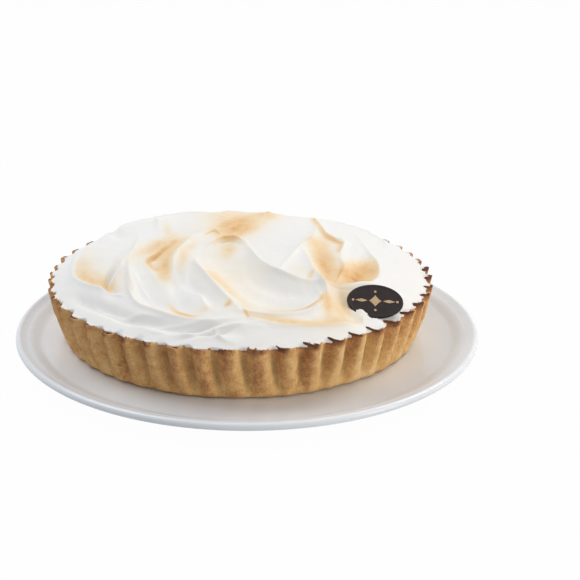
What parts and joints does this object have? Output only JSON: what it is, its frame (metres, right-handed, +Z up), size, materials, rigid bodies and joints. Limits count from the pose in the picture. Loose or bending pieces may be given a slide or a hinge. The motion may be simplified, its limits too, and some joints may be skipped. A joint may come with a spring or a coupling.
{
  "type": "lemon meringue pie",
  "caption": "Whole round lemon meringue pie in a fluted pastry case, topped with swept toasted meringue and an oval chocolate plaque, on a round plate.",
  "frame": {"origin": "centre of the plate's foot, on the table", "axes": "+Z up out of the plate; -Y is the serving side, with the plaque at the front right; +X to the right seen from there"},
  "size_m": [0.313, 0.313, 0.071],
  "materials": {
    "white_china": "glossy transparent glaze over a warm white body",
    "baked_pastry": "dry, short crumb, baked golden with darker tips; matte_plastic stands in for food",
    "toasted_meringue": "smooth satin foam, white with torched golden patches; matte_plastic stands in for food",
    "dark_chocolate": "moulded, satin; gloss_plastic stands in for food"
  },
  "bodies": {
    "root": {"plate": "white_china", "crust": "baked_pastry", "meringue": "toasted_meringue", "chocolate_plaque": "dark_chocolate"}
  },
  "joints": []
}
